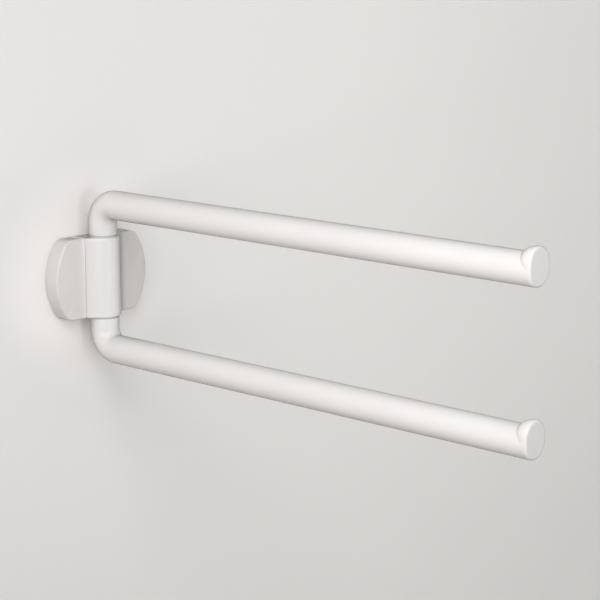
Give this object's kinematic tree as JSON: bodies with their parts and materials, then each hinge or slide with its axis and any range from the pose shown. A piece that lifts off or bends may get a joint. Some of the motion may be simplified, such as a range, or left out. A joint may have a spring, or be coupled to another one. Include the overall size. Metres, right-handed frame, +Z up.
{
  "type": "towel holder",
  "caption": "Wall-mounted towel holder: an upper and a lower rail swivel on a vertical barrel in a coved wall bracket, each rail with an upturned stop at its free end.",
  "frame": {"origin": "centre of the bracket's back face, where it lies on the wall", "axes": "+Z up, +Y into the wall, +X to the right for someone who faces the wall; at rest both rails point along -Y, into the room"},
  "size_m": [0.09, 0.41, 0.1362],
  "materials": {
    "white_polyamide": "signal white moulded polyamide, pore-free and glossy",
    "natural_acetal": "natural acetal, satin",
    "zinc_plated_steel": "stamped steel, zinc-plated and blue-passivated",
    "screw_steel": "stainless steel, bright rolled",
    "core_steel": "drawn stainless steel bar",
    "spring_steel": "hardened spring steel, dark"
  },
  "bodies": {
    "bracket": {"wall_plate": "zinc_plated_steel", "barrel_housing": "white_polyamide", "left_cover": "white_polyamide", "right_cover": "white_polyamide", "cover_sockets": "natural_acetal", "housing_screws": "screw_steel", "upper_bush": "natural_acetal", "lower_bush": "natural_acetal"},
    "upper_arm": {"upper_rail": "white_polyamide", "upper_core": "core_steel", "upper_end_cap": "white_polyamide", "upper_thrust_washer": "natural_acetal", "upper_spring_washer": "spring_steel", "upper_retaining_clip": "spring_steel"},
    "lower_arm": {"lower_rail": "white_polyamide", "lower_core": "core_steel", "lower_end_cap": "white_polyamide", "lower_thrust_washer": "natural_acetal", "lower_spring_washer": "spring_steel", "lower_retaining_clip": "spring_steel"}
  },
  "joints": [
    {"name": "upper_swivel", "type": "hinge", "parent": "bracket", "child": "upper_arm", "pos_m": [0, -0.014, 0.0305], "axis": [0, 0, 1], "range_deg": [-90, 90]},
    {"name": "lower_swivel", "type": "hinge", "parent": "bracket", "child": "lower_arm", "pos_m": [0, -0.014, -0.0305], "axis": [0, 0, 1], "range_deg": [-90, 90]}
  ]
}
